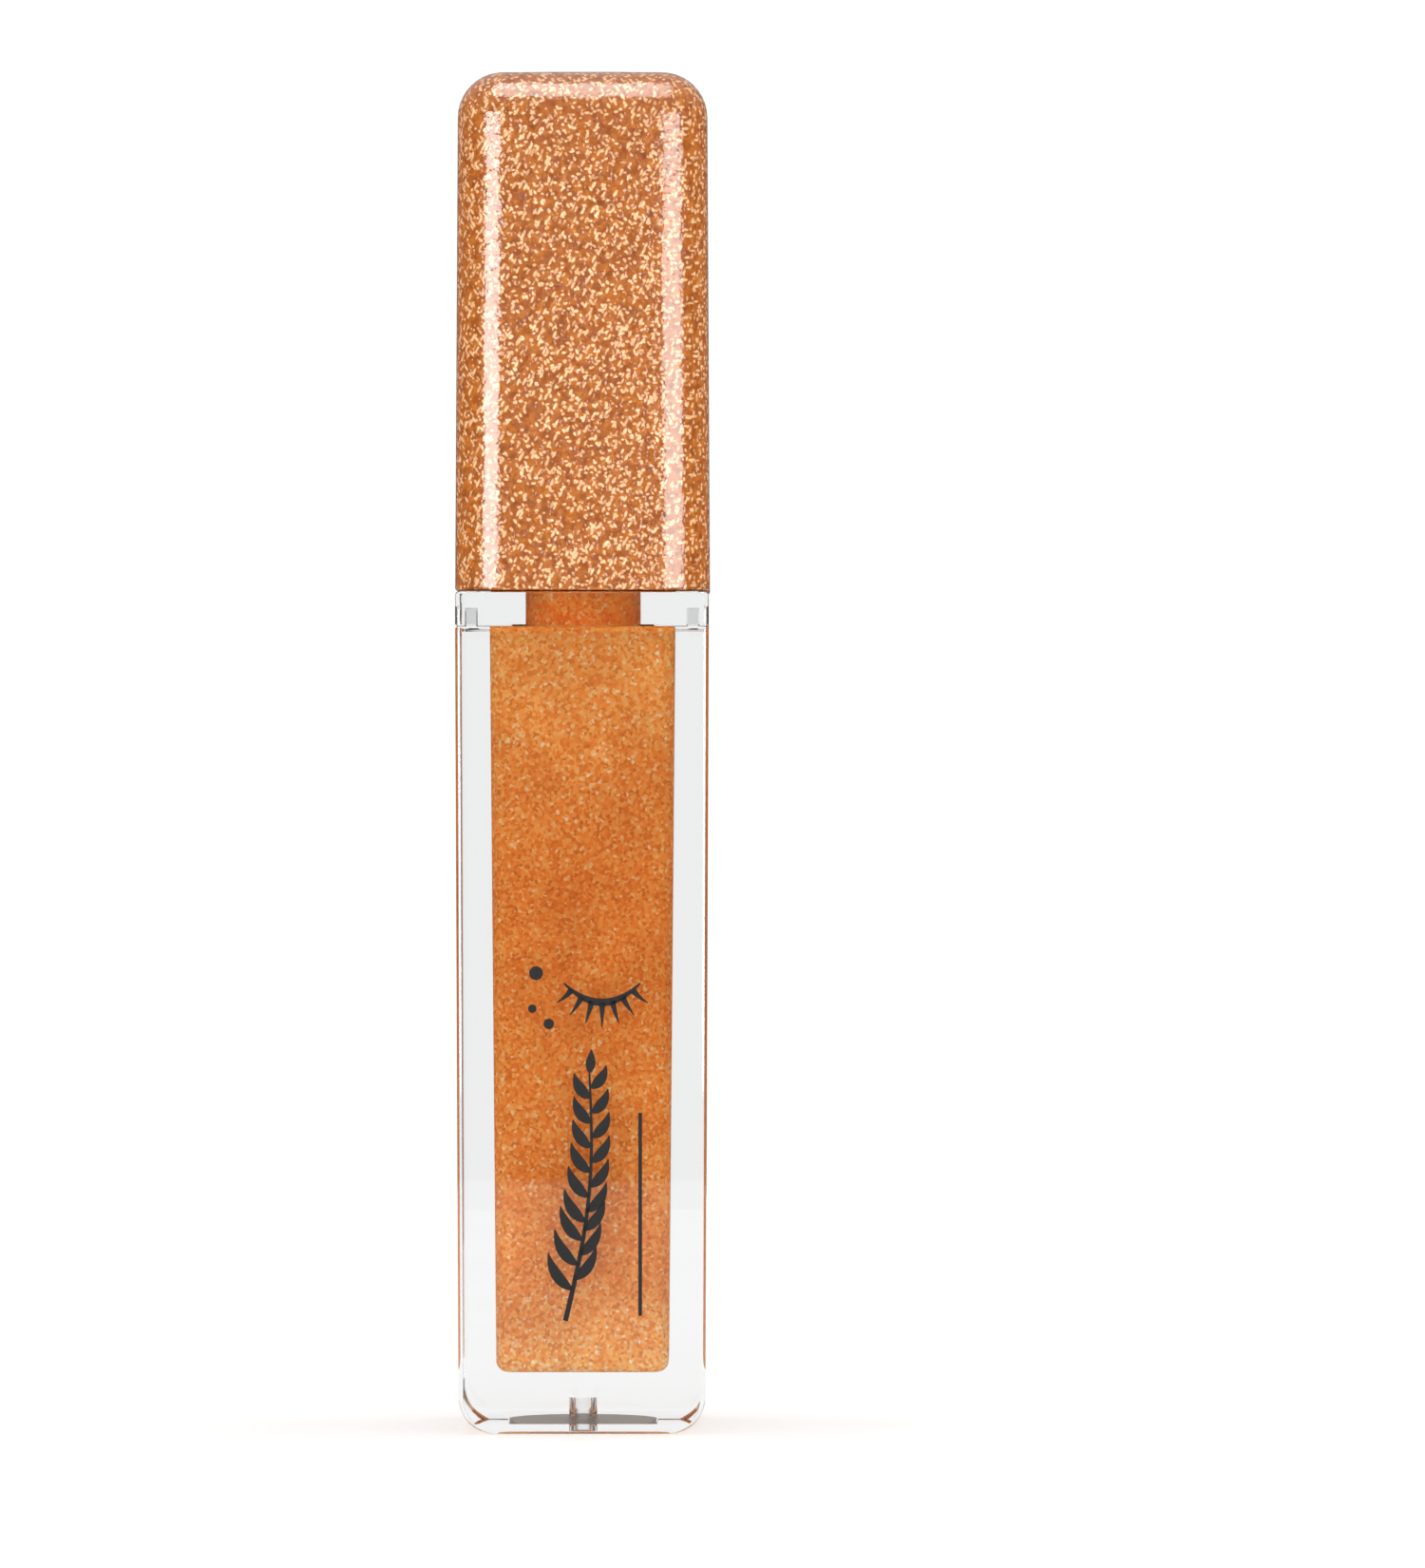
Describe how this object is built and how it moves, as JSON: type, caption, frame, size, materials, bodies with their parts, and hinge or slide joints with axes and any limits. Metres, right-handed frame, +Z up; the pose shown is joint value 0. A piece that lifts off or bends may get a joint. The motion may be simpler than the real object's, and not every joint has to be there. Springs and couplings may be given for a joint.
{
  "type": "mascara tube",
  "caption": "Square clear mascara bottle with glitter gel, wiper and screw cap that carries a clear wand with a twisted-wire spiral brush.",
  "frame": {"origin": "middle of the base, on the surface the tube stands on", "axes": "+Z up along the tube's axis, from the base to the cap; -Y is the printed front"},
  "size_m": [0.0202, 0.0202, 0.108],
  "materials": {
    "clear_plastic": "clear, polished",
    "clear_rod": "clear, moulded",
    "white_plastic": "moulded satin",
    "soft_plastic": "soft translucent polyethylene",
    "foam": "closed-cell foam",
    "glitter_gel": "copper glitter gel",
    "label_paper": "dark satin label",
    "glitter_lacquer": "copper glitter under clear lacquer",
    "twisted_wire": "bright drawn wire",
    "bristle": "nylon fibre"
  },
  "bodies": {
    "bottle": {"bottle_body": "clear_plastic", "neck_piece": "clear_plastic", "wiper": "soft_plastic", "glitter_gel": "glitter_gel", "base_label": "label_paper"},
    "seal": {"seal_washer": "foam"},
    "wand": {"wand_rod": "clear_rod"},
    "cap": {"cap_shell": "glitter_lacquer", "inner_cap": "white_plastic", "brush_wire": "twisted_wire", "bristle_row_01": "bristle", "bristle_row_02": "bristle", "bristle_row_03": "bristle", "bristle_row_04": "bristle", "bristle_row_05": "bristle", "bristle_row_06": "bristle", "bristle_row_07": "bristle", "bristle_row_08": "bristle", "bristle_row_09": "bristle", "bristle_row_10": "bristle", "bristle_row_11": "bristle", "bristle_row_12": "bristle", "bristle_row_13": "bristle", "bristle_row_14": "bristle"}
  },
  "joints": [
    {"name": "cap_pull", "type": "slide", "parent": "bottle", "child": "seal", "axis": [0, 0, 1], "range_m": [0, 0.075], "deforming": ["wiper"]},
    {"name": "cap_rise", "type": "slide", "parent": "seal", "child": "wand", "axis": [0, 0, 1], "range_m": [0, 0.00375]},
    {"name": "cap_turn", "type": "hinge", "parent": "wand", "child": "cap", "pos_m": [0, 0, 0.074], "axis": [0, 0, 1], "range_deg": [0, 540]}
  ],
  "couplings": [
    {"joint": "cap_rise", "follows": "cap_turn", "m_per_rad": 0.00039789}
  ]
}
